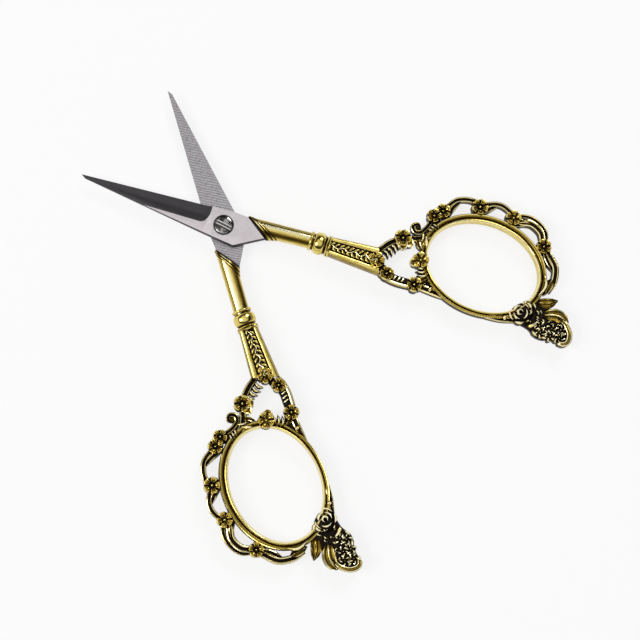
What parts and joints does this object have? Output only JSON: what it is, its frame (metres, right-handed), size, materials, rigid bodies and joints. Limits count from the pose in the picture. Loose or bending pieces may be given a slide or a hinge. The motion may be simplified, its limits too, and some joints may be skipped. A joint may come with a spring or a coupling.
{
  "type": "embroidery scissors",
  "caption": "Small pointed scissors with slim ground steel blades on a slotted pivot screw and cast floral handles with oval finger rings.",
  "frame": {"origin": "centre of the pivot screw's flat back end, where it lies flush with the rear blade's outer face", "axes": "+Z along the pivot axis towards the slotted head, +Y along the closing line towards the blade tips, +X towards the front half's handle"},
  "size_m": [0.1098, 0.1141, 0.0055],
  "materials": {
    "blade_steel": "ground and lapped, satin",
    "antique_gold": "antique gold plating, rubbed bright on the high places and black in the recesses",
    "screw_steel": "darkened, polished dome"
  },
  "bodies": {
    "rear_half": {"rear_blade": "blade_steel", "rear_handle": "antique_gold", "pivot_screw": "screw_steel"},
    "front_half": {"front_blade": "blade_steel", "front_handle": "antique_gold"}
  },
  "joints": [
    {"name": "pivot", "type": "hinge", "parent": "rear_half", "child": "front_half", "pos_m": [0, 0, 0.00125], "axis": [0, 0, 1], "range_deg": [-47.2, 42]}
  ]
}
